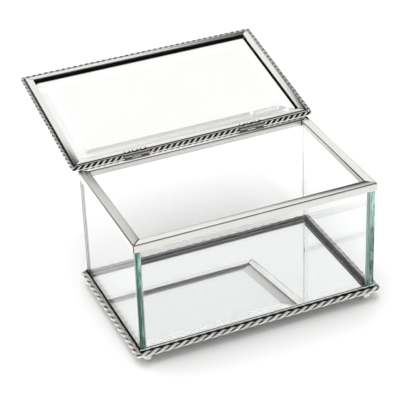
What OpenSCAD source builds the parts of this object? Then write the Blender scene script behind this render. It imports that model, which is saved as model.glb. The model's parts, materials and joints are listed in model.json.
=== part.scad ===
// Glass casket box: four clear walls on a mirror floor, a folded metal rim over
// their top edges, a bevelled glass lid in its own folded frame, twisted wire
// trim soldered round the base and the lid, two small hinges and four ball feet.
// Millimetres, +Z up. The box stands on z = 0 with its lid lying open, and the
// origin is on the table in the middle of the whole length that the open box covers.

/* [Box] */
// Width of the box over its metal rim
box_w = 152; // [120:1:200]
// Depth of the box over its metal rim
box_d = 91.7; // [70:0.1:130]
// Height from the table to the top of the rim
box_h = 81; // [60:1:120]

/* [Glass] */
// Thickness of the four walls
wall_t = 3.3; // [2.4:0.1:5]
// Thickness of the mirror plate that is the floor
plate_t = 2.7; // [2:0.1:5]
// Thickness of the lid's glass inside its bevel
lid_glass_t = 4; // [3.2:0.1:5]
// Thickness left at the lid glass's bevelled edge
bevel_edge_t = 1.8; // [1:0.1:2.4]
// Width of the bevel along each edge of the lid's glass
bevel_w = 12.5; // [6:0.5:18]

/* [Channels] */
// Thickness of the folded metal of the rim and of the lid's frame
came_t = 0.6; // [0.4:0.05:0.8]
// Clearance between the glass and the metal folded round it
glass_gap = 0.1; // [0.05:0.05:0.3]
// Outside radius of the rim's folds
fold_r = 0.9; // [0.8:0.05:1.4]
// Spare width in the channel of the rim's front and sides, on the inner side of the glass
rim_spare = 1.5; // [0:0.1:3]
// Height of the rim's outer skirt
rim_h = 4.9; // [4.9:0.1:7]
// Height of the rim's inner skirt
rim_h_in = 3.5; // [2:0.1:7]

/* [Base] */
// Thickness of the band round the mirror plate
band_t = 0.5; // [0.3:0.05:0.8]
// Height that the band stands above the floor, against the walls' feet
band_lip = 1.2; // [0.4:0.1:3]
// Width of the band's flange under the plate
band_flange = 4.5; // [3:0.1:8]

/* [Feet] */
// Diameter of a ball foot
foot_d = 6; // [4:0.1:9]
// Depth of the flats at the top and the bottom of a foot
foot_flat = 0.25; // [0.1:0.05:0.5]
// Distance of a foot's centre in from the side of the box
foot_in_x = 5.2; // [3:0.1:15]
// Distance of a foot's centre in from the front or back of the box
foot_in_y = 2.2; // [1.6:0.1:12]

/* [Twisted wire] */
// Diameter over the two strands round the base
base_rope_d = 3.2; // [2:0.1:4]
// Depth of the base wire's middle below the top of the band
base_rope_drop = 2.6; // [2:0.1:4]
// Diameter over the two strands round the lid
lid_rope_d = 2.4; // [1.4:0.1:2.5]
// Height of the lid wire's middle above the frame's underside
lid_rope_rise = 1.5; // [1.2:0.1:1.6]
// Solder gap between a wire and the metal that it runs along
solder_gap = 0.05; // [0.02:0.01:0.2]
// Inside radius of a wire's bends at the corners
rope_bend_in = 0.12; // [0.1:0.02:0.5]

/* [Lid] */
// Height of the lid's frame
lid_h = 4.8; // [4.8:0.1:6.5]
// Outside radius of the folds of the lid's frame
lid_fold_r = 1.5; // [0.8:0.1:1.6]
// Width of the frame's upper face, over the glass
lid_face = 5.6; // [4:0.1:8]
// Width of the frame's underside along the front and the back
lid_under_long = 3.6; // [2.6:0.1:6]
// Width of the frame's underside along the two ends
lid_under_end = 4.8; // [2.6:0.1:7]
// How far the lid reaches past the rim at each side
lid_over_side = 1.7; // [0:0.1:3]
// How far the lid reaches past the rim at the front
lid_over_front = 2.9; // [0:0.1:4]
// Gap between the rim and the closed lid
lid_gap = 0.3; // [0.2:0.05:0.4]

/* [Hinges] */
// Distance of each hinge's middle from the middle of the box
hinge_x = 38; // [20:1:48]
// Length of a hinge along its pin
hinge_len = 16; // [12:0.5:24]
// Radius of the knuckles
knuckle_r = 1.3; // [1.3:0.05:1.4]
// Diameter of the pin
pin_d = 1.2; // [0.8:0.05:1.4]
// Clearance of the pin in its knuckles, on the radius
pin_gap = 0.05; // [0.03:0.01:0.08]
// Clearance between two knuckles along the pin
knuckle_gap = 0.15; // [0.1:0.05:0.4]
// Clearance of the knuckles from the lid's frame
barrel_gap = 0.2; // [0.15:0.05:0.3]
// Distance of the pin behind the rim's back skirt
pin_out = 0; // [0:0.05:0.3]
// Gap between the lid's wire and the ends of a hinge
rope_end_gap = 0.4; // [0.2:0.1:1]
// Thickness of the hinge leaves
leaf_t = 0.5; // [0.3:0.05:0.5]
// Height of the leaf on the rim's back skirt
leaf_h = 3.2; // [2:0.1:4]
// Angle between the open lid and level
open_tilt = 10.4; // [0:0.1:40]

/* [Hidden] */
$fn = 48;
over = 1; // how far a cutter reaches past what it cuts

// Heights
band_z = foot_d - 2 * foot_flat;
plate_z = band_z + band_t;
floor_z = plate_z + plate_t;
band_top = floor_z + band_lip;
wall_top = box_h - came_t - glass_gap;

// The walls stand on the plate, inside the band and the rim's outer skirt
metal_side = max(came_t, band_t) + glass_gap;
glass_w = box_w - 2 * metal_side;
glass_d = box_d - 2 * metal_side;
rim_back_w = metal_side + wall_t + glass_gap + came_t;
rim_w = rim_back_w + rim_spare;

// The hinge line, over the rim's back skirt
hinge_y = box_d / 2 + pin_out;
hinge_z = box_h + solder_gap + knuckle_r;
open_angle = 180 - open_tilt;
bore_r = pin_d / 2 + pin_gap;
knuckle_len = (hinge_len - 2 * knuckle_gap) / 3;
pin_head_r = pin_d / 2 + 0.3;
pin_head_t = 0.4;
rope_break = hinge_len / 2 + pin_gap + pin_head_t + rope_end_gap;

// The lid, in the place where it lies closed
lid_front_y = -box_d / 2 - lid_over_front;
lid_back_y = hinge_y - knuckle_r - barrel_gap;
lid_w = box_w + 2 * lid_over_side;
lid_d = lid_back_y - lid_front_y;
lid_y = (lid_back_y + lid_front_y) / 2;
lid_z = box_h + lid_gap;
lid_edge = max(lid_fold_r, came_t) + glass_gap;
lid_rope_z = lid_z + lid_rope_rise;
lid_rope_out = solder_gap + lid_rope_d / 2;

// The base wire
base_rope_out = solder_gap + base_rope_d / 2;
base_rope_z = band_top - base_rope_drop;

// The open box reaches from the base wire in front to the wire on the lid's far edge
front_reach = box_d / 2 + base_rope_out + base_rope_d / 2;
arm_y = hinge_y - lid_front_y + lid_rope_out;
arm_z = lid_rope_z - hinge_z;
back_reach = hinge_y + arm_y * cos(open_tilt) + arm_z * sin(open_tilt) + lid_rope_d / 2;
middle_y = (back_reach - front_reach) / 2;

silver = "silver";
glass_green = [0.78, 0.9, 0.86, 0.45];
mirror_grey = [0.86, 0.88, 0.88];

// Where things stand: the box about its own middle, and the lid turned open on its pins
module on_table() {
    translate([0, -middle_y, 0]) children();
}

module lid_open() {
    on_table()
        translate([0, hinge_y, hinge_z])
            rotate([-open_angle, 0, 0])
                translate([0, -hinge_y, -hinge_z])
                    children();
}

// One side of a rectangular frame w by d: 0 is the front, 1 the right, 2 the back and
// 3 the left. The profile has x inwards from the outer face and y up, and is no wider
// than face. The joint at each end runs from the outer corner to the point that lies
// face inwards and beside[0] or beside[1] back from the first or the second end.
module frame_side(w, d, side, face, beside) {
    across = side % 2 == 0;
    run = across ? w : d;
    out = across ? d / 2 : w / 2;
    tall = 2 * rim_h + 2 * lid_h;
    rotate([0, 0, 90 * side])
        intersection() {
            translate([-run / 2, -out, 0])
                rotate([90, 0, 90])
                    linear_extrude(run) children();
            translate([0, 0, -tall / 2])
                linear_extrude(tall)
                    polygon([
                        [-run / 2, -out], [run / 2, -out],
                        [run / 2 - beside[1], face - out], [beside[0] - run / 2, face - out]
                    ]);
        }
}

// The rim's profile: a channel w wide that opens downwards, with y = 0 at its top
module rim_profile(w) {
    difference() {
        union() {
            translate([0, -rim_h]) square([w / 2, rim_h - fold_r]);
            translate([w / 2, -rim_h_in]) square([w / 2, rim_h_in - fold_r]);
            translate([fold_r, -fold_r]) square([w - 2 * fold_r, fold_r]);
            for (x = [fold_r, w - fold_r]) translate([x, -fold_r]) circle(fold_r);
        }
        translate([came_t, -rim_h - rim_h_in])
            square([w - 2 * came_t, rim_h + rim_h_in - came_t]);
    }
}

// The lid frame's profile: a channel that opens inwards, with y = 0 at its underside.
// Its underside is under wide, and its upper face is lid_face wide.
module lid_profile(under) {
    inner_r = lid_fold_r - came_t;
    difference() {
        union() {
            translate([lid_fold_r, 0]) square([under - lid_fold_r, lid_h / 2]);
            translate([lid_fold_r, lid_h / 2]) square([lid_face - lid_fold_r, lid_h / 2]);
            translate([0, lid_fold_r]) square([lid_fold_r, lid_h - 2 * lid_fold_r]);
            for (y = [lid_fold_r, lid_h - lid_fold_r]) translate([lid_fold_r, y]) circle(lid_fold_r);
        }
        translate([lid_fold_r, came_t]) square([lid_face, lid_h - 2 * came_t]);
        translate([came_t, lid_fold_r]) square([lid_fold_r, lid_h - 2 * lid_fold_r]);
        for (y = [lid_fold_r, lid_h - lid_fold_r]) translate([lid_fold_r, y]) circle(inner_r);
    }
}

// The base band's profile: an upright leg with a flange under the plate
module band_profile() {
    square([band_t, band_top - band_z]);
    square([band_flange, band_t]);
}

// A closed wire whose middle line is a rectangle w by d with rounded corners
module wire_ring(w, d, wire_r) {
    bend = wire_r + rope_bend_in;
    for (sx = [-1, 1]) {
        translate([sx * w / 2, bend - d / 2, 0])
            rotate([-90, 0, 0]) cylinder(r = wire_r, h = d - 2 * bend);
        translate([bend - w / 2, sx * d / 2, 0])
            rotate([0, 90, 0]) cylinder(r = wire_r, h = w - 2 * bend);
    }
    for (turn = [0:3]) {
        corner_x = turn == 0 || turn == 3 ? w / 2 - bend : bend - w / 2;
        corner_y = turn < 2 ? d / 2 - bend : bend - d / 2;
        translate([corner_x, corner_y, 0])
            rotate([0, 0, 90 * turn])
                rotate_extrude(angle = 90) translate([bend, 0]) circle(wire_r);
    }
}

// A long wall at the front (side -1) or the back (side 1), between the two end walls
module long_wall(side) {
    run = glass_w - 2 * wall_t;
    color(glass_green)
        on_table()
            translate([-run / 2, side * (glass_d - wall_t) / 2 - wall_t / 2, floor_z])
                cube([run, wall_t, wall_top - floor_z]);
}

// An end wall at the left (side -1) or the right (side 1), as deep as the glass
module end_wall(side) {
    color(glass_green)
        on_table()
            translate([side * (glass_w - wall_t) / 2 - wall_t / 2, -glass_d / 2, floor_z])
                cube([wall_t, glass_d, wall_top - floor_z]);
}

module front_glass() long_wall(-1);
module back_glass() long_wall(1);
module left_glass() end_wall(-1);
module right_glass() end_wall(1);

module mirror_plate() {
    color(mirror_grey)
        on_table()
            translate([-glass_w / 2, -glass_d / 2, plate_z])
                cube([glass_w, glass_d, plate_t]);
}

module base_band(side) {
    color(silver)
        on_table()
            translate([0, 0, band_z])
                frame_side(box_w, box_d, side, band_flange, [band_flange, band_flange]) band_profile();
}

module base_rope() {
    color(silver)
        on_table()
            translate([0, 0, base_rope_z])
                wire_ring(box_w + 2 * base_rope_out, box_d + 2 * base_rope_out, base_rope_d / 2);
}

// A ball foot, flat where it stands and where it is soldered to the band
module foot(side_x, side_y) {
    color(silver)
        on_table()
            translate([side_x * (box_w / 2 - foot_in_x), side_y * (box_d / 2 - foot_in_y), 0])
                intersection() {
                    translate([0, 0, foot_d / 2 - foot_flat]) sphere(d = foot_d);
                    translate([-foot_d, -foot_d, 0]) cube([2 * foot_d, 2 * foot_d, band_z]);
                }
}

// The rim is narrower along the back than along the front and the sides
module rim(side) {
    face = side == 2 ? rim_back_w : rim_w;
    beside = [side == 3 ? rim_back_w : rim_w, side == 1 ? rim_back_w : rim_w];
    color(silver)
        on_table()
            translate([0, 0, box_h])
                frame_side(box_w, box_d, side, face, beside) rim_profile(face);
}

// The lid's glass: a flat underside, a flat top and a bevel that thins all four edges
module bevelled_glass(w, d) {
    slope = (lid_glass_t - bevel_edge_t) / bevel_w;
    intersection() {
        translate([-w / 2, 0, 0])
            rotate([90, 0, 90])
                linear_extrude(w) bevelled_outline(d, slope);
        translate([0, d / 2, 0])
            rotate([90, 0, 0])
                linear_extrude(d) bevelled_outline(w, slope);
    }
}

module bevelled_outline(run, slope) {
    polygon([
        [-run / 2, 0], [run / 2, 0], [run / 2, bevel_edge_t],
        [run / 2 - bevel_w, bevel_edge_t + slope * bevel_w],
        [bevel_w - run / 2, bevel_edge_t + slope * bevel_w],
        [-run / 2, bevel_edge_t]
    ]);
}

module lid_glass() {
    color(glass_green)
        lid_open()
            translate([0, lid_y, lid_z + came_t])
                bevelled_glass(lid_w - 2 * lid_edge, lid_d - 2 * lid_edge);
}

// The two flanges are not equally wide, so the lower and the upper half of the profile
// have joints of their own
module lid_frame(side) {
    across = side % 2 == 0;
    under = across ? lid_under_long : lid_under_end;
    under_beside = across ? lid_under_end : lid_under_long;
    color(silver)
        lid_open()
            translate([0, lid_y, lid_z])
                for (upper = [0, 1]) {
                    face = upper == 1 ? lid_face : under;
                    beside = upper == 1 ? lid_face : under_beside;
                    frame_side(lid_w, lid_d, side, face, [beside, beside])
                        difference() {
                            lid_profile(under);
                            translate([-over, upper == 1 ? -over : lid_h / 2])
                                square([lid_face + 2 * over, lid_h / 2 + over]);
                        }
                }
}

// The lid's wire runs from hinge to hinge round the sides and the front
module lid_rope() {
    reach = 2 * (hinge_x + rope_break);
    color(silver)
        lid_open()
            difference() {
                translate([0, lid_y, lid_rope_z])
                    wire_ring(lid_w + 2 * lid_rope_out, lid_d + 2 * lid_rope_out, lid_rope_d / 2);
                translate([-reach / 2, lid_back_y, lid_rope_z - lid_rope_d])
                    cube([reach, 2 * lid_rope_d, 2 * lid_rope_d]);
            }
}

// The short length of the same wire between the two hinges
module lid_rope_back() {
    run = 2 * (hinge_x - rope_break);
    color(silver)
        lid_open()
            translate([-run / 2, lid_back_y + lid_rope_out, lid_rope_z])
                rotate([0, 90, 0]) cylinder(d = lid_rope_d, h = run);
}

// A length of knuckle along the pin, from x to x + run
module knuckle(x, run) {
    translate([x, 0, 0]) rotate([0, 90, 0]) cylinder(r = knuckle_r, h = run);
}

module pin_bore() {
    translate([-hinge_len / 2 - over, 0, 0])
        rotate([0, 90, 0]) cylinder(r = bore_r, h = hinge_len + 2 * over);
}

// The leaf soldered to the rim's back skirt, with two arms up to the outer knuckles,
// which stand on the rim
module hinge_box_leaf(side) {
    leaf_in = box_d / 2 - hinge_y;
    leaf_top = box_h - fold_r - hinge_z;
    color(silver)
        on_table()
            translate([side * hinge_x, hinge_y, hinge_z])
                difference() {
                    union() {
                        translate([-hinge_len / 2, leaf_in, leaf_top - leaf_h])
                            cube([hinge_len, leaf_t, leaf_h]);
                        for (x = [-hinge_len / 2, hinge_len / 2 - knuckle_len]) {
                            knuckle(x, knuckle_len);
                            translate([x, leaf_in, leaf_top - leaf_t])
                                cube([knuckle_len, leaf_t, leaf_t - leaf_top]);
                        }
                    }
                    pin_bore();
                }
}

// The leaf soldered to the back of the lid's frame, with the middle knuckle
module hinge_lid_leaf(side) {
    web = -knuckle_r - barrel_gap;
    leaf_top = lid_z + lid_h - lid_fold_r - hinge_z;
    leaf_bottom = lid_z + lid_fold_r - hinge_z;
    color(silver)
        lid_open()
            translate([side * hinge_x, hinge_y, hinge_z])
                difference() {
                    union() {
                        translate([-knuckle_len / 2, web, leaf_bottom])
                            cube([knuckle_len, leaf_t, leaf_top - leaf_bottom]);
                        knuckle(-knuckle_len / 2, knuckle_len);
                        translate([-knuckle_len / 2, 0, 0])
                            rotate([90, 0, 90])
                                linear_extrude(knuckle_len)
                                    polygon([[web, leaf_bottom], [0, -knuckle_r * 0.9],
                                             [0, knuckle_r * 0.9], [web, leaf_top]]);
                    }
                    pin_bore();
                }
}

// The pin, with a small head at each end
module hinge_pin(side) {
    head_x = hinge_len / 2 + pin_gap;
    color(silver)
        on_table()
            translate([side * hinge_x, hinge_y, hinge_z])
                rotate([0, 90, 0]) {
                    translate([0, 0, -head_x]) cylinder(d = pin_d, h = 2 * head_x);
                    translate([0, 0, head_x]) cylinder(r = pin_head_r, h = pin_head_t);
                    translate([0, 0, -head_x - pin_head_t]) cylinder(r = pin_head_r, h = pin_head_t);
                }
}

front_glass();
back_glass();
left_glass();
right_glass();
mirror_plate();
base_band(0);  // base_band_front
base_band(1);  // base_band_right
base_band(2);  // base_band_back
base_band(3);  // base_band_left
base_rope();
foot(-1, -1);  // foot_front_left
foot(1, -1);  // foot_front_right
foot(-1, 1);  // foot_back_left
foot(1, 1);  // foot_back_right
rim(0);  // rim_front
rim(1);  // rim_right
rim(2);  // rim_back
rim(3);  // rim_left
lid_glass();
lid_frame(0);  // lid_frame_front
lid_frame(1);  // lid_frame_right
lid_frame(2);  // lid_frame_back
lid_frame(3);  // lid_frame_left
lid_rope();
lid_rope_back();
hinge_box_leaf(-1);  // left_hinge_box_leaf
hinge_lid_leaf(-1);  // left_hinge_lid_leaf
hinge_pin(-1);  // left_hinge_pin
hinge_box_leaf(1);  // right_hinge_box_leaf
hinge_lid_leaf(1);  // right_hinge_lid_leaf
hinge_pin(1);  // right_hinge_pin
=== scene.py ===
# %% [markdown]
# # A glass casket box
# Four clear panes stand on a mirror plate. A folded metal rim holds their top edges,
# a folded band holds the plate, and a bevelled glass lid turns on two small hinges.
# Twisted wire runs round the base and the lid, and four little balls are the feet.
# Everything below is in metres and in the frame's own axes: the box stands on z = 0,
# its front faces -Y, and its lid lies open behind it. Points closer together than
# TOUCH count as one.

# %% Load the frame
import json
import math

import bmesh
import bpy
from mathutils import Matrix, Vector


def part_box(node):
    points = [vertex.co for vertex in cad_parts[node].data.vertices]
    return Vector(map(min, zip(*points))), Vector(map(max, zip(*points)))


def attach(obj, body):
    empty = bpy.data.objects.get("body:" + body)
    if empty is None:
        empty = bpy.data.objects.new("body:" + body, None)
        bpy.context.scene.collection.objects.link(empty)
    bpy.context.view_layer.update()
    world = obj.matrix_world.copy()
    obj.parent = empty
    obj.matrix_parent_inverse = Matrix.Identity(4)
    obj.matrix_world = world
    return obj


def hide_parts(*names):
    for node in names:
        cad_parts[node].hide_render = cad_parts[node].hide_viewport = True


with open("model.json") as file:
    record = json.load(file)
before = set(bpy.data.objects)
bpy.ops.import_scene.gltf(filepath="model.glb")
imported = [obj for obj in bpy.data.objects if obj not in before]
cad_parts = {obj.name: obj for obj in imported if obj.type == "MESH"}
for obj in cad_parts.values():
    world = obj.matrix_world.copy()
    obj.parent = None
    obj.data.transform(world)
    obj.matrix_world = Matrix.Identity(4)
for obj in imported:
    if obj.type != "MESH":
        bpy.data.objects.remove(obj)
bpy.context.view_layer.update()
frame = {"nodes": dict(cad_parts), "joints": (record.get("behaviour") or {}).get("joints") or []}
MM = 0.001
TOUCH = 1e-6

# %% [markdown]
# ## The lid's own position
# The lid is drawn lying open, tilted back past upright. Its pieces are far easier to
# model lying flat and shut. So each is made shut and then turned open about the hinge
# line, which the frame's joint gives exactly.

# %% The hinge line and the turn that opens the lid
lid_joint = frame["joints"][0]
pivot = Vector(lid_joint["pos_m"])
swing = math.radians(lid_joint["range_deg"][1])
swung = Matrix.Rotation(swing, 4, Vector(lid_joint["axis"]))
shut = Matrix.Translation(pivot) @ swung @ Matrix.Translation(-pivot)
opened = shut.inverted()


def shut_box(node):
    """The lowest and highest corner of a lid's node once the lid is turned shut."""
    points = [shut @ v.co for v in frame["nodes"][node].data.vertices]
    low = Vector(min(p[i] for p in points) for i in range(3))
    high = Vector(max(p[i] for p in points) for i in range(3))
    return low, high


hinge_line = tuple(round(c, 5) for c in pivot)
print("lid swings", round(math.degrees(swing), 1), "degrees about", hinge_line)

# %% [markdown]
# ## The camera
# The photograph was taken with a long lens from the front left, looking down. Its
# angles, distance and lens were worked out from the corners of the rim, the base and
# the open lid. The camera aims at a point on the box and is rolled a little, because
# the photograph leans.

# %% Camera
CAMERA_AZIMUTH = math.radians(-22.01)
CAMERA_ELEVATION = math.radians(31.49)
CAMERA_ROLL = math.radians(-2.27)
CAMERA_DISTANCE = 978.7 * MM
CAMERA_LENS = 144.6
AIM_RIGHT = -17.77 * MM
AIM_UP = 47.24 * MM
AIM_DEPTH = 45 * MM

band_low, band_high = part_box("base_band_front")
aim = Vector((0, band_low.y + AIM_DEPTH, band_high.z))

towards = Vector((
    math.sin(CAMERA_AZIMUTH) * math.cos(CAMERA_ELEVATION),
    -math.cos(CAMERA_AZIMUTH) * math.cos(CAMERA_ELEVATION),
    math.sin(CAMERA_ELEVATION),
))
level_right = Vector((math.cos(CAMERA_AZIMUTH), math.sin(CAMERA_AZIMUTH), 0))
level_up = towards.cross(level_right)
right = level_right * math.cos(CAMERA_ROLL) + level_up * math.sin(CAMERA_ROLL)
up = level_up * math.cos(CAMERA_ROLL) - level_right * math.sin(CAMERA_ROLL)

camera_data = bpy.data.cameras.new("camera")
camera_data.lens = CAMERA_LENS
camera_data.clip_start = 0.05
camera_data.clip_end = 60
camera = bpy.data.objects.new("camera", camera_data)
turn = Matrix((right, up, towards)).transposed().to_4x4()
spot = aim + towards * CAMERA_DISTANCE + right * AIM_RIGHT + up * AIM_UP
camera.matrix_world = Matrix.Translation(spot) @ turn
bpy.context.scene.collection.objects.link(camera)
bpy.context.scene.camera = camera
print("camera at", tuple(round(c, 3) for c in camera.matrix_world.translation))

# %% [markdown]
# ## Nodes
# Every finish below is a little tree of nodes. A few helpers keep the trees short: one
# starts a material, one adds a node with its settings and its links, and the others
# are the sums that come up again and again.

# %% Nodes, linked by name
def new_material(name):
    """A material with an empty node tree and its output."""
    material = bpy.data.materials.new(name)
    material.use_nodes = True
    material.node_tree.nodes.clear()
    output = material.node_tree.nodes.new("ShaderNodeOutputMaterial")
    return material, material.node_tree, output


def add(tree, kind, settings=None, inputs=None):
    """Adds a node, sets its own settings, and sets or links each input."""
    node = tree.nodes.new("ShaderNode" + kind)
    for key, value in (settings or {}).items():
        setattr(node, key, value)
    for key, value in (inputs or {}).items():
        if isinstance(value, bpy.types.NodeSocket):
            tree.links.new(value, node.inputs[key])
        else:
            node.inputs[key].default_value = value
    return node


def ramp(tree, fac, stops):
    """A colour ramp of greys: a list of place and value."""
    node = add(tree, "ValToRGB", inputs={"Fac": fac})
    elements = node.color_ramp.elements
    while len(elements) < len(stops):
        elements.new(0.5)
    for element, (place, value) in zip(elements, stops):
        element.position = place
        element.color = (value, value, value, 1)
    return node.outputs["Color"]


# %% Small sums
def noise(tree, scale, detail, place=None):
    """Noise from 0 to 1, on the object's own place or on a given one."""
    inputs = {"Scale": scale, "Detail": detail}
    if place:
        inputs["Vector"] = place
    return add(tree, "TexNoise", inputs=inputs).outputs["Fac"]


def stretched(tree, place, scale):
    """A place, scaled by its own amount along each axis."""
    return add(tree, "Mapping", inputs={"Vector": place, "Scale": scale}).outputs[0]


def attribute(tree, name, output="Fac"):
    """An attribute of the mesh, which is 0 where the mesh has none of that name."""
    return add(tree, "Attribute", {"attribute_name": name}).outputs[output]


def fade(tree, value, start, end):
    """0 at start and 1 at end, with soft ends."""
    settings = {"interpolation_type": "SMOOTHSTEP"}
    inputs = {"Value": value, "From Min": start, "From Max": end}
    return add(tree, "MapRange", settings, inputs).outputs[0]


def times(tree, first, second):
    return add(tree, "Math", {"operation": "MULTIPLY"}, {0: first, 1: second}).outputs[0]


def mix(tree, factor, first, second):
    inputs = {"Factor": factor, "A": first, "B": second}
    return add(tree, "Mix", {"data_type": "FLOAT"}, inputs).outputs[0]


def mix_colour(tree, factor, first, second):
    inputs = {"Factor": factor, "A": first, "B": second}
    return add(tree, "Mix", {"data_type": "RGBA"}, inputs).outputs["Result"]


# %% [markdown]
# ## The studio
# The light is an even dome with one large bright patch, nearly overhead and a little
# behind the box, so the box has one soft shadow. Bright metal and clear glass only look
# like themselves when they have something to mirror, and what flatters one spoils the
# other. So the world holds three pictures, and Light Path picks one for each ray. Matt
# surfaces are lit by the dome. Clear glass and the mirror meet a broad white screen
# behind the box, a dim front and a dark ceiling. The brushed metal meets a smaller
# screen and a grey front, placed so that the sides of each fold differ in tone.

# %% World: directions
world = bpy.data.worlds.new("studio")
world.use_nodes = True
world.cycles.sampling_method = "NONE"
bpy.context.scene.world = world
tree = world.node_tree
tree.nodes.clear()
direction = add(tree, "TexCoord").outputs["Generated"]
compass = add(tree, "SeparateXYZ", inputs={0: direction}).outputs
height = compass["Z"]
azimuth = add(tree, "Math", {"operation": "ARCTAN2"}, {0: compass["X"], 1: compass["Y"]}).outputs[0]

# %% World: what clear glass and the mirror meet
SCREEN = 1.05
ROOM = 0.035
DIM_FRONT = 0.45

behind = fade(tree, compass["Y"], -0.25, 0.1)
low_front = ramp(tree, height, [(0.0, DIM_FRONT), (0.45, DIM_FRONT), (0.65, ROOM), (1.0, ROOM)])
low_screen = ramp(tree, height, [(0.0, SCREEN), (0.60, SCREEN), (0.70, ROOM), (1.0, ROOM)])
in_glass = mix(tree, behind, low_front, low_screen)

# %% World: what brushed metal meets
FRONT = 0.62

across = times(tree, fade(tree, azimuth, -0.30, -0.02), fade(tree, azimuth, 0.78, 0.58))
upward = times(tree, fade(tree, height, 0.16, 0.30), fade(tree, height, 0.96, 0.88))
forward = times(tree, fade(tree, compass["Y"], -0.05, -0.35), fade(tree, height, 0.85, 0.60))
in_metal = mix(tree, times(tree, across, upward), mix(tree, forward, ROOM, FRONT), SCREEN)

# %% World: the dome, and which ray meets which picture
AMBIENT = 0.62
LAMP = 3.7
LAMP_TOWARDS = Vector((-0.10, 0.22, 1.0)).normalized()
LAMP_EDGE = 0.75, 0.97
DAYLIGHT = (1.0, 0.998, 0.992, 1)

to_lamp = add(tree, "VectorMath", {"operation": "DOT_PRODUCT"}, {0: direction, 1: LAMP_TOWARDS})
dome = mix(tree, fade(tree, to_lamp.outputs["Value"], *LAMP_EDGE), AMBIENT, LAMP)
path = add(tree, "LightPath").outputs
mirrored = mix(tree, path["Is Singular Ray"], in_metal, in_glass)
lighting = add(tree, "Math", {"operation": "GREATER_THAN"}, {0: path["Diffuse Depth"], 1: 0.5})
strength = mix(tree, lighting.outputs[0], mirrored, dome)
background = add(tree, "Background", inputs={"Color": DAYLIGHT, "Strength": strength})
tree.links.new(background.outputs[0], add(tree, "OutputWorld").inputs["Surface"])
print("dome", AMBIENT, "with a patch of", LAMP, "towards", tuple(round(c, 2) for c in LAMP_TOWARDS))

# %% [markdown]
# A ray passes many faces of glass before it leaves the box, so the bounces are many.
# The Standard view keeps white glass and white floor as plain as they are.

# %% Light paths and view
scene = bpy.context.scene
scene.view_settings.view_transform = "Standard"
scene.cycles.max_bounces = 40
scene.cycles.transmission_bounces = 40
scene.cycles.glossy_bounces = 24
scene.cycles.diffuse_bounces = 4
scene.cycles.transparent_max_bounces = 12
print("bounces", scene.cycles.max_bounces)

# %% [markdown]
# ## The floor
# One wide matt sheet, nearly white, with a very faint grain.

# %% Floor
FLOOR_SIZE = 14


def matt(tree, output, tone, roughness, gloss):
    """Ends a tree with a matt surface."""
    shader = add(tree, "BsdfPrincipled", inputs={
        "Base Color": tone, "Roughness": roughness, "Specular IOR Level": gloss,
    })
    tree.links.new(shader.outputs[0], output.inputs["Surface"])


floor_material, tree, output = new_material("studio_floor")
tone = ramp(tree, noise(tree, 3.0, 3.0), [(0.3, 0.895), (0.7, 0.905)])
matt(tree, output, tone, 0.9, 0.1)

bm = bmesh.new()
bmesh.ops.create_grid(bm, x_segments=4, y_segments=4, size=FLOOR_SIZE / 2)
floor_mesh = bpy.data.meshes.new("floor")
bm.to_mesh(floor_mesh)
bm.free()
floor = bpy.data.objects.new("floor", floor_mesh)
floor.data.materials.append(floor_material)
scene.collection.objects.link(floor)
print("floor", FLOOR_SIZE, "m wide")

# %% [markdown]
# ## Glass
# Float glass looks clear through its face and green through its edge, because iron in
# it takes a little red light per millimetre. A surface colour can't do that, so Volume
# Absorption inside a clear shader takes the red. The cut ends of the walls are green
# and streaky besides, with light and dark drawn out along them, so an attribute marks
# them and noise stretched along Z colours them. Another attribute marks the ground
# facets, which are rough. The walls bend light a little less than real glass does, so
# that the front pane doesn't veil the dark lines behind it with its reflection.

# %% Clear glass
GREEN_COLOUR = (0.22, 0.80, 0.66, 1)
GROUND_ROUGHNESS = 0.38
CUT_CLEARNESS = 0.62
CUT_DARK = (0.03, 0.19, 0.12, 1)
CUT_PALE = (0.66, 0.94, 0.86, 1)
CUT_STREAKS = (1500, 1500, 110)


def cut_green(tree):
    """The green of a cut end: streaks of dark and pale, and painted shade on the part that the mesh
    marks.
    """
    place = add(tree, "TexCoord").outputs["Object"]
    streaks = noise(tree, 1.0, 3.0, stretched(tree, place, CUT_STREAKS))
    streaks = add(tree, "MapRange", inputs={"Value": streaks, "From Min": 0.40, "From Max": 0.60})
    green = mix_colour(tree, streaks.outputs[0], CUT_DARK, CUT_PALE)
    shade = add(tree, "MapRange", inputs={
        "Value": attribute(tree, "painted_shade_end"), "From Min": 0.4, "From Max": 0.55, "To Max": 0.8,
    })
    return mix_colour(tree, shade.outputs[0], green, CUT_DARK)


def clear_glass(name, density, surface):
    """Clear glass with a green body. surface gives the shader's inputs, from the tree."""
    material, tree, output = new_material(name)
    shader = add(tree, "BsdfPrincipled", inputs=surface(tree))
    tint = add(tree, "VolumeAbsorption", inputs={"Color": GREEN_COLOUR, "Density": density})
    tree.links.new(shader.outputs[0], output.inputs["Surface"])
    tree.links.new(tint.outputs[0], output.inputs["Volume"])
    return material


# %% The glass of the mirror plate and of the walls
WALL_IOR = 1.38
WALL_DENSITY = 3.5
CLEAR = (1, 1, 1, 1)


def plate_surface(tree):
    """Attribute "ground" marks the rough facets."""
    grain = times(tree, noise(tree, 900.0, 4.0), GROUND_ROUGHNESS * 2)
    rough = times(tree, grain, attribute(tree, "ground"))
    return {"Base Color": CLEAR, "Transmission Weight": 1.0, "IOR": WALL_IOR, "Roughness": rough}


def wall_surface(tree):
    """The same, and attribute "cut" marks the green cut ends."""
    cut = attribute(tree, "cut")
    return plate_surface(tree) | {
        "Base Color": mix_colour(tree, cut, CLEAR, cut_green(tree)),
        "Transmission Weight": mix(tree, cut, 1.0, CUT_CLEARNESS),
    }


plate_glass = clear_glass("plate_glass", WALL_DENSITY, plate_surface)
wall_glass = clear_glass("wall_glass", WALL_DENSITY, wall_surface)
print("glass", plate_glass.name, wall_glass.name)

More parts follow.
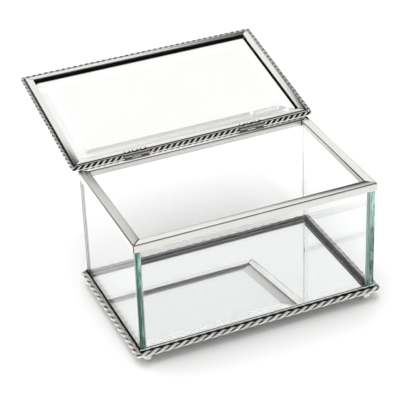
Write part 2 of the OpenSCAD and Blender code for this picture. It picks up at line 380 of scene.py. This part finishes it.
# %% The glass of the lid
LID_IOR = 1.52
LID_DENSITY = 0.1
LID_DIM = (0.913, 0.913, 0.908, 1)
LID_CLEAR = (0.917, 0.917, 0.912, 1)


def lid_surface(tree):
    """Hardly tinted, a little greyer than the walls, with the faintest clouds."""
    body = mix_colour(tree, noise(tree, 30.0, 3.0), LID_DIM, LID_CLEAR)
    return {"Base Color": body, "Transmission Weight": 1.0, "Roughness": 0.0, "IOR": LID_IOR}


lid_glass_material = clear_glass("bevelled_glass", LID_DENSITY, lid_surface)
print("glass", lid_glass_material.name)

# %% [markdown]
# The silvering is a perfect mirror with a hint of cloud. The nearly black finish is old
# glue and putty, and it also paints shade: it draws the thin dark lines where glass
# meets metal, and the dark faces of the band behind the wire.

# %% Silvering, and the nearly black finish of glue and painted shade
silvering, tree, output = new_material("silvering")
tone = ramp(tree, noise(tree, 40.0, 3.0), [(0.35, 0.86), (0.65, 0.88)])
shader = add(tree, "BsdfPrincipled", inputs={"Base Color": tone, "Metallic": 1.0, "Roughness": 0.0})
tree.links.new(shader.outputs[0], output.inputs["Surface"])

# Nearly black: old glue, and painted shade where glass meets metal and behind the wire.
glue_and_painted_shade, tree, output = new_material("glue_and_painted_shade")
matt(tree, output, ramp(tree, noise(tree, 300.0, 5.0), [(0.3, 0.004), (0.7, 0.02)]), 0.7, 0.2)

# %% [markdown]
# ## Metal
# The rim, the lid's frame and the band are one bright plated strip, folded and rolled,
# so it has faint streaks along its length. The streaks are noise stretched along an
# attribute that each piece carries, its own place before it is set in the box. So they
# always run along the strip, also on the tilted lid. The wire is brighter, with painted
# shade in its grooves, the feet are polished, and the hinges are the darkest. The faces
# of the strip that the photograph shows greyer get a darker copy of the plating, which
# is painted shade.

# %% Plated metal
STREAKS = (14, 900, 900)
WAVES = (30, 120, 120)
# Painted shade for the grooves of the wire.
GROOVE_SHADE = (0.03, 0.028, 0.026, 1)
BUMP = 0.1 * MM


def plated(name, colour, roughness, streak, ripple, dark=None, metal=1.0):
    """Plated metal. Its streaks follow the attribute "lay", and dark names an attribute that paints
    shade.
    """
    material, tree, output = new_material(name)
    place = attribute(tree, "lay", "Vector")
    fine = add(tree, "TexNoise", inputs={
        "Vector": stretched(tree, place, STREAKS), "Scale": 1.0, "Detail": 5.0, "Roughness": 0.6,
    }).outputs["Fac"]
    soft = noise(tree, 1.0, 2.0, stretched(tree, place, WAVES))
    low = tuple(c * (1 - streak) for c in colour) + (1,)
    high = tuple(min(1, c * (1 + streak)) for c in colour) + (1,)
    base = mix_colour(tree, fine, low, high)
    if dark:
        base = mix_colour(tree, attribute(tree, dark), base, GROOVE_SHADE)
    rough = add(tree, "MapRange", inputs={
        "Value": fine, "To Min": roughness * 0.7, "To Max": roughness * 1.4,
    }).outputs[0]
    relief = add(tree, "Math", {"operation": "ADD"}, {0: fine, 1: soft}).outputs[0]
    bump = add(tree, "Bump", inputs={"Height": relief, "Strength": ripple, "Distance": BUMP})
    shader = add(tree, "BsdfPrincipled", inputs={
        "Base Color": base, "Metallic": metal, "Roughness": rough, "Normal": bump.outputs[0],
    })
    tree.links.new(shader.outputs[0], output.inputs["Surface"])
    return material


# %% The metals
channel_metal = plated("channel_metal", (0.82, 0.805, 0.785), 0.16, 0.05, 0.25)
wire_metal = plated("wire_metal", (0.95, 0.94, 0.92), 0.2, 0.02, 0.1, dark="groove", metal=0.6)
# A darker copy of the channel metal paints shade on the greyer faces of the rim.
painted_shade_metal = plated("painted_shade_metal", (0.66, 0.65, 0.63), 0.25, 0.06, 0.3)
foot_metal = plated("foot_metal", (0.86, 0.85, 0.83), 0.1, 0.02, 0.1)
hinge_metal = plated("hinge_metal", (0.42, 0.41, 0.4), 0.2, 0.08, 0.4)

# Painted shade: a nearly black finish for the insides of the channels, their joints, the lid
# frame's face behind the wire and the band round the solder.
painted_shade_black, tree, output = new_material("painted_shade_black")
matt(tree, output, ramp(tree, noise(tree, 400.0, 4.0), [(0.3, 0.0005), (0.7, 0.003)]), 0.8, 0.1)
print("materials", len(bpy.data.materials))

# %% [markdown]
# ## Making a piece
# Every new piece ends the same way: its mesh becomes an object at the origin, which
# rides on its body, stands for its CAD node and names the finish that it wears. Faces
# of more than one finish are marked beforehand by their material index. Smooth shading
# stops at edges sharper than 28 degrees, so folds look round and ends look cut.

# %% Piece from a bmesh
SHARP = math.radians(28)


def make_piece(bm, name, body, nodes, materials, smooth=True):
    """Turns a bmesh into a finished piece that stands for the given CAD nodes."""
    bmesh.ops.recalc_face_normals(bm, faces=bm.faces)
    mesh = bpy.data.meshes.new(name)
    bm.to_mesh(mesh)
    bm.free()
    for material in materials:
        mesh.materials.append(material)
    if smooth:
        mesh.shade_smooth()
        mesh.set_sharp_from_angle(angle=SHARP)
    piece = bpy.data.objects.new(name, mesh)
    scene.collection.objects.link(piece)
    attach(piece, body)
    if nodes:
        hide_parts(*nodes)
    print(name, len(mesh.polygons), "faces")
    return piece


def ease(bm, edges, offset, segments):
    """Bevels edges by an offset, flat with one segment and round with several."""
    bmesh.ops.bevel(
        bm, geom=edges, offset=offset, offset_type="OFFSET", segments=segments, profile=0.5,
        affect="EDGES", material=-1,
    )


def block(low, high):
    """A bmesh block between two corners."""
    bm = bmesh.new()
    bmesh.ops.create_cube(bm, size=1)
    bmesh.ops.scale(bm, vec=high - low, verts=bm.verts)
    bmesh.ops.translate(bm, vec=(low + high) / 2, verts=bm.verts)
    return bm


# %% [markdown]
# ## The four panes
# A pane is a plain block of glass with a narrow ground facet, an arris, along each
# edge, which is what catches the light along its outline. The bevel operator cuts the
# facets. A pane is drawn in by a hair, so that no two glass faces lie in one plane. Its
# foot face gets the nearly black finish, glue and painted shade, which draws the dark
# line round the mirror. The two end faces are the cut ones. The joint at the back right
# is the cleanest, so the ends there are hardly green, and the outer half of the left
# wall's end has painted shade, so it is the darkest.

# %% Marks on the faces of glass
ARRIS = 0.25 * MM
HAIR = 0.03 * MM
CLEAN_CUT = 0.1
SQUARE = 0.9


def mark_faces(bm, name, amount):
    """Gives each face the named attribute, worked out from its normal."""
    layer = bm.faces.layers.float.new(name)
    for face in bm.faces:
        face[layer] = float(amount(face.normal))


def is_facet(normal):
    """Whether a face is square to none of the axes."""
    return max(abs(c) for c in normal) < SQUARE


def cut_amount(name, normal):
    """How green a cut end is: hardly, in the clean joint at the back right."""
    right_wall = name == "right_glass" and normal.y > 0
    back_wall = name == "back_glass" and normal.x > 0
    return CLEAN_CUT if right_wall or back_wall else 1.0


# %% Panes
def glass_block(node):
    """A block in a node's place, a hair smaller, with its edges ground."""
    low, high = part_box(node)
    hair = Vector((HAIR, HAIR, HAIR))
    bm = block(low + hair, high - hair)
    ease(bm, bm.edges, ARRIS, 1)
    bm.normal_update()
    mark_faces(bm, "ground", is_facet)
    for face in bm.faces:
        face.material_index = int(face.normal.z < -SQUARE)
    return bm


def pane(name):
    """A wall, with its foot face nearly black, glue and painted shade, and its two ends marked as
    cut.
    """
    low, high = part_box(name)
    long_way = 0 if high.x - low.x > high.y - low.y else 1
    bm = glass_block(name)
    mark_faces(bm, "cut", lambda n: (abs(n[long_way]) > SQUARE) * cut_amount(name, n))
    # Painted shade on the cut ends of the left wall's outer half.
    layer = bm.verts.layers.float.new("painted_shade_end")
    for v in bm.verts:
        v[layer] = float(name == "left_glass" and v.co.x < (low.x + high.x) / 2)
    materials = [wall_glass, glue_and_painted_shade]
    return make_piece(bm, name + "_pane", "box", [name], materials, smooth=False)


for wall in ("front_glass", "back_glass", "left_glass", "right_glass"):
    pane(wall)

# %% [markdown]
# A bead of clear glue runs down the inner corner at each end of the front pane. It is a
# slim block with its inward edge cut off, and it picks up the green of the cut ends.

# %% The glue's finish
GLUE_DARK = (0.34, 0.70, 0.60, 1)
GLUE_PALE = (0.74, 0.95, 0.90, 1)
GLUE_WAVES = (900, 900, 150)

glue, tree, output = new_material("glue")
place = add(tree, "TexCoord").outputs["Object"]
waves = noise(tree, 1.0, 3.0, stretched(tree, place, GLUE_WAVES))
tint = mix_colour(tree, waves, GLUE_DARK, GLUE_PALE)
shader = add(tree, "BsdfPrincipled", inputs={
    "Base Color": tint, "Transmission Weight": 0.6, "IOR": WALL_IOR, "Roughness": 0.3,
})
tree.links.new(shader.outputs[0], output.inputs["Surface"])

# %% Glue in the front corners
BEAD = 1.1 * MM
BEAD_TOP = 76.8 * MM

_, front_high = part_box("front_glass")


def glue_bead(end_wall):
    """The bead between the front pane and one end wall."""
    end_low, end_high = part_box(end_wall)
    left = end_wall == "left_glass"
    start = end_high.x + HAIR if left else end_low.x - HAIR - BEAD
    low = Vector((start, front_high.y + HAIR, end_low.z + HAIR))
    high = Vector((low.x + BEAD, low.y + BEAD, BEAD_TOP))
    inward = Vector((high.x if left else low.x, high.y))
    bm = block(low, high)
    edges = [e for e in bm.edges if all((v.co.xy - inward).length < TOUCH for v in e.verts)]
    ease(bm, edges, BEAD * 0.8, 3)
    make_piece(bm, "glue_by_" + end_wall, "box", [], [glue])


for end_wall in ("left_glass", "right_glass"):
    glue_bead(end_wall)

# %% [markdown]
# Two thin dark strips have the nearly black finish: along the foot of the right wall a
# strip of painted shade, and up the corner at the back left a dark seam of glue.

# %% Dark seals
SEAL_THICK = 0.3 * MM
SEAL_HIGH = 1.8 * MM

right_low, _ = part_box("right_glass")
_, left_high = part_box("left_glass")
back_glass_low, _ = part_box("back_glass")
foot = right_low.z + HAIR
back_face = back_glass_low.y - HAIR

bm = block(
    Vector((right_low.x - HAIR - SEAL_THICK, front_high.y + BEAD + 2 * HAIR, foot)),
    Vector((right_low.x - HAIR, back_face, right_low.z + SEAL_HIGH)),
)
make_piece(bm, "seal_right", "box", [], [glue_and_painted_shade])
bm = block(
    Vector((left_high.x + HAIR, back_face - SEAL_THICK, foot)),
    Vector((left_high.x + HAIR + SEAL_THICK, back_face, BEAD_TOP)),
)
make_piece(bm, "seal_back_left", "box", [], [glue_and_painted_shade])

# %% [markdown]
# ## The mirror floor
# A mirror is a glass plate silvered on its back, so what lies on it stands a little
# above its own reflection. The plate is a block with the glass finish, and its
# underside alone has the silvering.

# %% Mirror plate
bm = glass_block("mirror_plate")
materials = [plate_glass, silvering]
make_piece(bm, "mirror_floor", "box", ["mirror_plate"], materials, smooth=False)

# %% [markdown]
# ## Folded channels
# The rim and the lid's frame are strips folded into a channel. One length is an
# eight-point outline, extruded along the side. Its two long outer edges are bevelled
# with several segments, which makes the fold round, and the ends are sheared to 45
# degrees for the mitre. The inside gets a nearly black finish of its own, painted shade.
# So do the sheared ends, and where a joint stands wide open its eased edges too.

# %% A folded strip
FOLD_SEGMENTS = 6


def extrude_outline(outline, run):
    """An outline of (y, z) points, swept from -run/2 to run/2 along X."""
    bm = bmesh.new()
    verts = [bm.verts.new((-run / 2, y, z)) for y, z in outline]
    face = bm.faces.new(verts)
    swept = bmesh.ops.extrude_face_region(bm, geom=[face])
    moved = [g for g in swept["geom"] if isinstance(g, bmesh.types.BMVert)]
    bmesh.ops.translate(bm, vec=(run, 0, 0), verts=moved)
    bmesh.ops.recalc_face_normals(bm, faces=bm.faces)
    return bm


def long_edges(bm, spots):
    """The edges along X that pass through the given (y, z) points."""
    found = []
    for edge in bm.edges:
        a, b = edge.verts
        if abs(a.co.x - b.co.x) < TOUCH:
            continue
        if any(abs(a.co.y - y) < TOUCH and abs(a.co.z - z) < TOUCH for y, z in spots):
            found.append(edge)
    return found


def fold(bm, spots, radius):
    """Rounds the edges along X at the given spots, as a fold in the strip does."""
    ease(bm, long_edges(bm, spots), radius, FOLD_SEGMENTS)


# %% Its mitred ends
MITRE_GAP = 0.10 * MM
MITRE_ARRIS = 0.12 * MM
WIDE_JOINT = 0.2 * MM
SHARP_END = math.radians(30)
CUT_TILT = 0.6
WIDE_CUT_TILT = 0.15
SIDE_TURNS = {"front": 0, "right": 1, "back": 2, "left": 3}
SIDES = list(SIDE_TURNS)


def mitre(bm, run, gaps=(MITRE_GAP, MITRE_GAP), slant=lambda v: 1):
    """Shears both ends, to 45 degrees unless slant says otherwise, and eases the cut edges."""
    for v in bm.verts:
        side = 1 if v.co.x > 0 else -1
        v.co.x = side * (run / 2 - v.co.y * slant(v) - gaps[side > 0])
    at_ends = [e for e in bm.edges if all(abs(v.co.x) > run / 4 for v in e.verts)]
    at_ends = [e for e in at_ends if e.verts[0].co.x * e.verts[1].co.x > 0]
    outlines = [e for e in at_ends if len(e.link_faces) == 2 and e.calc_face_angle(0) > SHARP_END]
    ease(bm, outlines, MITRE_ARRIS, 2)
    bm.normal_update()


def at_joints(side, joints):
    """The values of a side's two joints, from those of the joints after each of SIDES."""
    return joints[SIDE_TURNS[side] - 1], joints[SIDE_TURNS[side]]


def is_cut(face, gaps):
    """Whether a face gets the painted shade of a joint: the sheared end, and at a wide one its
    eased edges.
    """
    wide = gaps[face.calc_center_median().x > 0] > WIDE_JOINT
    return abs(face.normal.x) > (WIDE_CUT_TILT if wide else CUT_TILT)


# %% Its place in the box
def keep_lay(bm):
    """Stores each vertex's own place as the attribute "lay", before the piece is set in the box."""
    layer = bm.verts.layers.float_vector.new("lay")
    for v in bm.verts:
        v[layer] = v.co


def set_side(bm, side, middle, half_x, half_y, z):
    """Moves a length of channel from its own axes to one side of a rectangle."""
    out = half_y if side in ("front", "back") else half_x
    place = (
        Matrix.Translation(Vector((middle.x, middle.y, z)))
        @ Matrix.Rotation(SIDE_TURNS[side] * math.pi / 2, 4, "Z")
        @ Matrix.Translation(Vector((0, -out, 0)))
    )
    bmesh.ops.transform(bm, matrix=place, verts=bm.verts)


# %% [markdown]
# ## The rim
# The strip is folded down on both sides of the panes' top edges, further on the outside
# than on the inside. The back length is narrower than the others, so the mitres beside
# it aren't at 45 degrees. The gaps of the four joints are as open as each one looks.

# %% The rim's sizes
RIM_METAL = 0.6 * MM
RIM_INNER_SKIRT = 3.5 * MM
FOLD_RADIUS = 0.9 * MM
RIM_GAPS = [g * MM for g in (0.1, 0.22, 0.34, 0.34)]
JUST_IN = RIM_METAL * 0.99
BELOW_FOLD = FOLD_RADIUS * 0.8
AT_INNER_SKIRT = 0.97
ROUGHLY = 0.7

rim_low, rim_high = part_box("rim_front")
rim_inner, rim_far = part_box("rim_back")
rim_height = rim_high.z - rim_low.z
rim_width = rim_high.y - rim_low.y
rim_half_x = rim_high.x
rim_half_y = (rim_far.y - rim_low.y) / 2
rim_middle = Vector((0, (rim_low.y + rim_far.y) / 2, 0))
rim_widths = dict.fromkeys(SIDES, rim_width)
rim_widths["back"] = rim_far.y - rim_inner.y
print("rim", round(rim_width / MM, 2), "mm wide and", round(rim_height / MM, 2), "mm high")


# %% The rim
def rim_outline(w):
    """The folded strip, w wide. It hangs from its outer top edge, and y grows inwards."""
    h, inner, t = rim_height, RIM_INNER_SKIRT, RIM_METAL
    return [(0, -h), (0, 0), (w, 0), (w, -inner), (w - t, -inner), (w - t, -t), (t, -t), (t, -h)]


def rim_finish(face, side, width, gaps):
    """0 for bright metal, 1 for the painted shade of the inside and joints, 2 for the darker copy
    of the metal, painted shade on the greyer faces.
    """
    c = face.calc_center_median()
    inside = JUST_IN < c.y < width - JUST_IN and c.z < -JUST_IN
    if inside or is_cut(face, gaps):
        return 1
    inner_skirt = c.y > width * AT_INNER_SKIRT and c.z < -BELOW_FOLD
    left_top = side == "left" and face.normal.z > ROUGHLY
    front_skirt = side == "front" and face.normal.y < -ROUGHLY
    return 2 if inner_skirt or left_top or front_skirt else 0


def rim_side(side):
    run = 2 * (rim_half_x if side in ("front", "back") else rim_half_y)
    width = rim_widths[side]
    turn = SIDE_TURNS[side]
    beside = rim_widths[SIDES[turn - 1]], rim_widths[SIDES[(turn + 1) % 4]]
    bm = extrude_outline(rim_outline(width), run)
    fold(bm, [(0, 0), (width, 0)], FOLD_RADIUS)
    fold(bm, [(RIM_METAL, -RIM_METAL), (width - RIM_METAL, -RIM_METAL)], FOLD_RADIUS - RIM_METAL)
    gaps = at_joints(side, RIM_GAPS)
    mitre(bm, run, gaps, lambda v: beside[v.co.x > 0] / width)
    for face in bm.faces:
        face.material_index = rim_finish(face, side, width, gaps)
    keep_lay(bm)
    set_side(bm, side, rim_middle, rim_half_x, rim_half_y, rim_high.z)
    node = "rim_" + side
    materials = [channel_metal, painted_shade_black, painted_shade_metal]
    make_piece(bm, node + "_channel", "box", [node], materials)


for side in SIDE_TURNS:
    rim_side(side)

# %% [markdown]
# ## The lid's frame
# The same kind of strip, turned on its side so that it opens inwards and grips the
# glass. It is modelled shut and then turned open with the lid. Its underside, which
# the open lid shows, is wider along the two ends than along the front and the back, so
# the joint there runs from the outer corner to the opening's corner, not at 45 degrees.
# The outer edge, where the wire is soldered on, has painted shade: the nearly black finish.

# %% The lid frame's sizes
LID_FOLD = 1.5 * MM
UNDER_LONG = 3.6 * MM
UNDER_END = 4.8 * MM
LID_GAPS = [g * MM for g in (0.24, 0.34, 0.26, 0.1)]

lid_low, side_high = shut_box("lid_frame_front")
_, lid_high = shut_box("lid_frame_back")
lid_height = lid_high.z - lid_low.z
lid_face = side_high.y - lid_low.y
lid_half_x = side_high.x
lid_half_y = (lid_high.y - lid_low.y) / 2
lid_middle = Vector((0, (lid_low.y + lid_high.y) / 2, 0))
print("lid frame", round(lid_face / MM, 2), "mm wide and", round(lid_height / MM, 2), "mm high")


# %% The lid's frame
def lid_outline(under):
    """The strip on its side, open inwards, with its lower flange as wide as under."""
    w, h, t = lid_face, lid_height, RIM_METAL
    return [(0, 0), (0, h), (w, h), (w, h - t), (t, h - t), (t, t), (under, t), (under, 0)]


def lid_side(side):
    long_side = side in ("front", "back")
    run = 2 * (lid_half_x if long_side else lid_half_y)
    under, other = (UNDER_LONG, UNDER_END) if long_side else (UNDER_END, UNDER_LONG)
    bm = extrude_outline(lid_outline(under), run)
    fold(bm, [(0, 0), (0, lid_height)], LID_FOLD)
    fold(bm, [(RIM_METAL, RIM_METAL), (RIM_METAL, lid_height - RIM_METAL)], LID_FOLD - RIM_METAL)
    gaps = at_joints(side, LID_GAPS)
    mitre(bm, run, gaps, lambda v: other / under if v.co.z < lid_height / 2 else 1)
    # Painted shade: the nearly black finish inside, on the face behind the wire and in the joints.
    for face in bm.faces:
        c = face.calc_center_median()
        inside = c.y > JUST_IN and JUST_IN < c.z < lid_height - JUST_IN
        behind_wire = face.normal.y < -SQUARE
        face.material_index = int(inside or behind_wire or is_cut(face, gaps))
    keep_lay(bm)
    set_side(bm, side, lid_middle, lid_half_x, lid_half_y, lid_low.z)
    bmesh.ops.transform(bm, matrix=opened, verts=bm.verts)
    node = "lid_frame_" + side
    make_piece(bm, node + "_channel", "lid", [node], [channel_metal, painted_shade_black])


for side in SIDE_TURNS:
    lid_side(side)

# %% [markdown]
# ## The base band
# An L-shaped strip: a leg that stands round the plate's edge and a flange under it. The
# leg's inner face gets the nearly black finish, dark glue and painted shade. Its outer
# face has painted shade behind the wire and is bright in a narrow lip above, except on
# the left, where the lip has the painted shade.

# %% The base band
BAND_METAL = 0.5 * MM
BAND_EDGE = 0.16 * MM
BRIGHT_LIP = 0.9 * MM
NEAR_INNER = BAND_METAL * 0.95
NEAR_OUTER = BAND_METAL * 0.9

band_height = band_high.z - band_low.z
band_flange = band_high.y - band_low.y
band_half_x = band_high.x
_, back_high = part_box("base_band_back")
band_half_y = (back_high.y - band_low.y) / 2


def band_side(side):
    run = 2 * (band_half_x if side in ("front", "back") else band_half_y)
    t, h, w = BAND_METAL, band_height, band_flange
    glue_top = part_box("mirror_plate")[1].z - band_low.z
    outline = [(0, 0), (0, h - BRIGHT_LIP), (0, h), (t, h), (t, glue_top), (t, t), (w, t), (w, 0)]
    bm = extrude_outline(outline, run)
    ease(bm, long_edges(bm, [(0, 0), (0, h), (t, h)]), BAND_EDGE, 3)
    mitre(bm, run)
    # Painted shade: the nearly black finish behind the wire, on the left lip, and with the glue on
    # the leg's inner face.
    for face in bm.faces:
        c = face.calc_center_median()
        in_lip = c.z > h - BRIGHT_LIP
        glued_and_shaded = c.y > NEAR_INNER and c.z > NEAR_INNER and (side != "back" or c.z < glue_top)
        behind_wire = c.y < NEAR_OUTER and c.z > t and not in_lip
        face.material_index = int(glued_and_shaded or (in_lip if side == "left" else behind_wire))
    keep_lay(bm)
    set_side(bm, side, rim_middle, band_half_x, band_half_y, band_low.z)
    node = "base_band_" + side
    make_piece(bm, node + "_strip", "box", [node], [channel_metal, glue_and_painted_shade])


for side in SIDE_TURNS:
    band_side(side)

# %% [markdown]
# ## The lid's glass
# The CAD node already has the wide bevel that thins the glass towards its edges, and
# it is exact, so it stays. It only needs the glass finish.

# %% Lid glass
def dress(node, material):
    """Gives a CAD node one material."""
    data = frame["nodes"][node].data
    data.materials.clear()
    data.materials.append(material)


dress("lid_glass", lid_glass_material)

# %% [markdown]
# ## Twisted wire
# Two bright wires twisted together like a cord are soldered round the base, and a finer
# pair round the lid. Each strand is a curve with a round section that winds about the
# rectangle's line, and a loop works out its points. The grooves between the strands get
# painted shade, so each strand carries an attribute that says how near it is to the
# middle of the pair. The wire by the hinges lies deepest in shade, so there the painted
# shade is wider.

# %% Rectangle with round corners
BEND_IN = 0.12 * MM


def round_rectangle(half_x, half_y, bend):
    """A rectangle's line as a function of the distance along it, from its front left corner."""
    a, b = half_x - bend, half_y - bend
    arc = bend * math.pi / 2
    corners = [(a, -b, -90), (a, b, 0), (-a, b, 90), (-a, -b, 180)]
    starts = [(-a, -half_y), (half_x, -b), (a, half_y), (-half_x, b)]
    steps = [(1, 0), (0, 1), (-1, 0), (0, -1)]
    lengths = [2 * a, 2 * b, 2 * a, 2 * b]
    whole = sum(lengths) + 4 * arc
    back_middle = lengths[0] + lengths[1] + 2 * arc + a

    def at(distance):
        """The place on the line, and which way is outward there."""
        distance %= whole
        for (cx, cy, first), (sx, sy), (dx, dy), run in zip(corners, starts, steps, lengths):
            if distance <= run:
                return Vector((sx + dx * distance, sy + dy * distance, 0)), Vector((dy, -dx, 0))
            distance -= run
            if distance <= arc:
                angle = math.radians(first) + distance / bend
                outward = Vector((math.cos(angle), math.sin(angle), 0))
                return Vector((cx, cy, 0)) + outward * bend, outward
            distance -= arc
        return Vector((-a, -half_y, 0)), Vector((0, -1, 0))

    return at, whole, back_middle


# %% Grooves
GROOVE_EDGE = 0.18


def groove_depth(point, half_x, half_y, bend, radius, wide):
    """1 in the middle of the pair of strands, 0 on the outside."""
    qx = abs(point.x) - (half_x - bend)
    qy = abs(point.y) - (half_y - bend)
    across = math.hypot(max(qx, 0), max(qy, 0)) + min(max(qx, qy), 0) - bend
    share = math.hypot(across, point.z) / radius
    return max(0.0, min(1.0, (wide - share) / GROOVE_EDGE))


# %% Twisted pair
STEPS_PER_TURN = 20
STRAND_SIDES = 3


def twisted_pair(
    name, node, body, half_x, half_y, middle, radius, pitch, placed, grooves, span=None,
):
    """Two strands wound round each other along a rectangle or a span of it, as one mesh.

    Grooves says how wide the painted shade in the middle is, elsewhere and at the back.
    """
    bend = radius + BEND_IN
    at, whole, back_middle = round_rectangle(half_x, half_y, bend)
    turns = round(whole / pitch)
    first, last = (back_middle + s for s in span) if span else (0, whole)
    if last < first:
        last += whole
    strand = radius / 2
    curve = bpy.data.curves.new(name, "CURVE")
    curve.dimensions = "3D"
    curve.bevel_depth = strand
    curve.bevel_resolution = STRAND_SIDES
    curve.use_fill_caps = bool(span)
    count = round(turns * STEPS_PER_TURN * (last - first) / whole)
    for half_turn in (0, math.pi):
        spline = curve.splines.new("POLY")
        spline.points.add(count if span else count - 1)
        spline.use_cyclic_u = not span
        for i, knot in enumerate(spline.points):
            distance = first + (last - first) * i / count
            place, outward = at(distance)
            angle = half_turn + 2 * math.pi * turns * distance / whole
            offset = outward * math.cos(angle) * strand + Vector((0, 0, math.sin(angle) * strand))
            knot.co = (*(place + offset), 1)
    holder = bpy.data.objects.new(name + "_line", curve)
    scene.collection.objects.link(holder)
    rounded = holder.evaluated_get(bpy.context.evaluated_depsgraph_get())
    mesh = bpy.data.meshes.new_from_object(rounded)
    bpy.data.objects.remove(holder)
    bm = bmesh.new()
    bm.from_mesh(mesh)
    bpy.data.meshes.remove(mesh)
    bmesh.ops.remove_doubles(bm, verts=bm.verts, dist=TOUCH)
    layer = bm.verts.layers.float.new("groove")
    for v in bm.verts:
        at_back = v.co.y > half_y - bend
        v[layer] = groove_depth(v.co, half_x, half_y, bend, radius, grooves[at_back])
    keep_lay(bm)
    bmesh.ops.transform(bm, matrix=placed @ Matrix.Translation(middle), verts=bm.verts)
    piece = make_piece(bm, name, body, [node], [wire_metal])
    print(name, "pitch", round(whole / turns / MM, 2), "mm, bend", round(bend / MM, 2), "mm")
    return piece


# %% Wire round the base
BASE_PITCH = 11.76 * MM
BASE_GROOVES = (0.66, 0.66)

low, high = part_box("base_rope")
wire_radius = (high.z - low.z) / 2
twisted_pair(
    "base_twisted_wire", "base_rope", "box",
    (high.x - low.x) / 2 - wire_radius, (high.y - low.y) / 2 - wire_radius,
    (low + high) / 2, wire_radius, BASE_PITCH, Matrix.Identity(4), BASE_GROOVES,
)

# %% [markdown]
# The lid's wire stops at each side of the two hinges, so it is one long length round
# the front and the sides, and one short length between the hinges. Both follow the
# same line and the same twist. A span is given as distances from the middle of the
# back, and the hinge pins and the short length's own node give the places of the cuts.

# %% Wire round the lid
LID_PITCH = 7.94 * MM
LID_GROOVES = (0.76, 0.96)

low, high = shut_box("lid_rope")
wire_radius = (high.z - low.z) / 2
_, short_high = shut_box("lid_rope_back")
near_end = short_high.x
pin_low, pin_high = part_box("right_hinge_pin")
far_end = pin_high.x + (pin_low.x - near_end)
lid_wire = (
    (high.x - low.x) / 2 - wire_radius, (high.y - low.y) / 2 - wire_radius,
    (low + high) / 2, wire_radius, LID_PITCH, opened, LID_GROOVES,
)
twisted_pair("lid_twisted_wire", "lid_rope", "lid", *lid_wire, span=(far_end, -far_end))
twisted_pair("lid_twisted_wire_back", "lid_rope_back", "lid", *lid_wire, span=(-near_end, near_end))

# %% [markdown]
# ## Feet
# A ball is soldered under each corner of the band. It is half an outline, spun round
# its own upright line: a ball with a flat to stand on and a small collar of solder.

# %% Ball feet
COLLAR_RADIUS = 2.3 * MM
COLLAR_FOOT = COLLAR_RADIUS * 1.12
COLLAR_RISE = 0.21 * MM
COLLAR_NECK = COLLAR_RADIUS * 0.9
FOOT_STEPS = 14
SPIN_STEPS = 32


def ball_foot(node):
    """The outline from the middle of the flat round the ball and up the collar, spun."""
    low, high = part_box(node)
    middle = (low + high) / 2
    radius = (high.x - low.x) / 2
    flat = radius - high.z / 2
    bm = bmesh.new()
    start = math.asin((radius - flat) / radius)
    stop = math.acos(COLLAR_NECK / radius)
    points = [(0, 0)]
    for i in range(FOOT_STEPS + 1):
        angle = -start + (start + stop) * i / FOOT_STEPS
        points.append((radius * math.cos(angle), radius - flat + radius * math.sin(angle)))
    points += [(COLLAR_RADIUS, high.z - COLLAR_RISE), (COLLAR_FOOT, high.z), (0, high.z)]
    verts = [bm.verts.new((r, 0, z)) for r, z in points]
    edges = [bm.edges.new(pair) for pair in zip(verts, verts[1:])]
    bmesh.ops.spin(
        bm, geom=verts + edges, cent=(0, 0, 0), axis=(0, 0, 1), dvec=(0, 0, 0),
        angle=2 * math.pi, steps=SPIN_STEPS, use_merge=True, use_normal_flip=False,
        use_duplicate=False,
    )
    bmesh.ops.remove_doubles(bm, verts=bm.verts, dist=TOUCH)
    keep_lay(bm)
    bmesh.ops.translate(bm, vec=(middle.x, middle.y, 0), verts=bm.verts)
    make_piece(bm, node + "_ball", "box", [node], [foot_metal])


for corner in ("front_left", "front_right", "back_left", "back_right"):
    ball_foot("foot_" + corner)

# %% [markdown]
# ## Hinges
# The leaves, knuckles and pins are exact in the frame and small on the box, so they
# keep their CAD meshes and only get the darker metal.

# %% Hinges
for hand in ("left", "right"):
    for part in ("box_leaf", "lid_leaf", "pin"):
        dress(f"{hand}_hinge_{part}", hinge_metal)

# %% [markdown]
# Three blobs of solder hold each hinge to the frame. They are flattened balls sunk in
# the fold of the lid's frame, in line with the three knuckles. Each is bright metal on
# top and has a band of painted shade, the nearly black finish, round its side.

# %% Solder at the hinges
SOLDER_HALF = Vector((2.3, 1.5, 0.4)) * MM
SOLDER_RAISED = 0.18 * MM
SOLDER_BRIGHT = 0.70


def solder(hand):
    """Three blobs beside one hinge, one for each knuckle."""
    low, high = shut_box(f"{hand}_hinge_lid_leaf")
    middle = (low.x + high.x) / 2
    pitch = high.x - low.x
    bm = bmesh.new()
    for step in (-1, 0, 1):
        made = bmesh.ops.create_uvsphere(bm, u_segments=20, v_segments=12, radius=1)["verts"]
        for face in {f for v in made for f in v.link_faces}:
            # Painted shade: the band round each blob's side gets the nearly black finish.
            face.material_index = int(abs(face.calc_center_median().z) < SOLDER_BRIGHT)
        bmesh.ops.scale(bm, vec=SOLDER_HALF, verts=made)
        along = middle + step * pitch
        spot = Vector((along, lid_high.y - SOLDER_HALF.y, lid_low.z + SOLDER_RAISED))
        bmesh.ops.translate(bm, vec=spot, verts=made)
    keep_lay(bm)
    bmesh.ops.transform(bm, matrix=opened, verts=bm.verts)
    make_piece(bm, hand + "_hinge_solder", "lid", [], [foot_metal, painted_shade_black])


for hand in ("left", "right"):
    solder(hand)
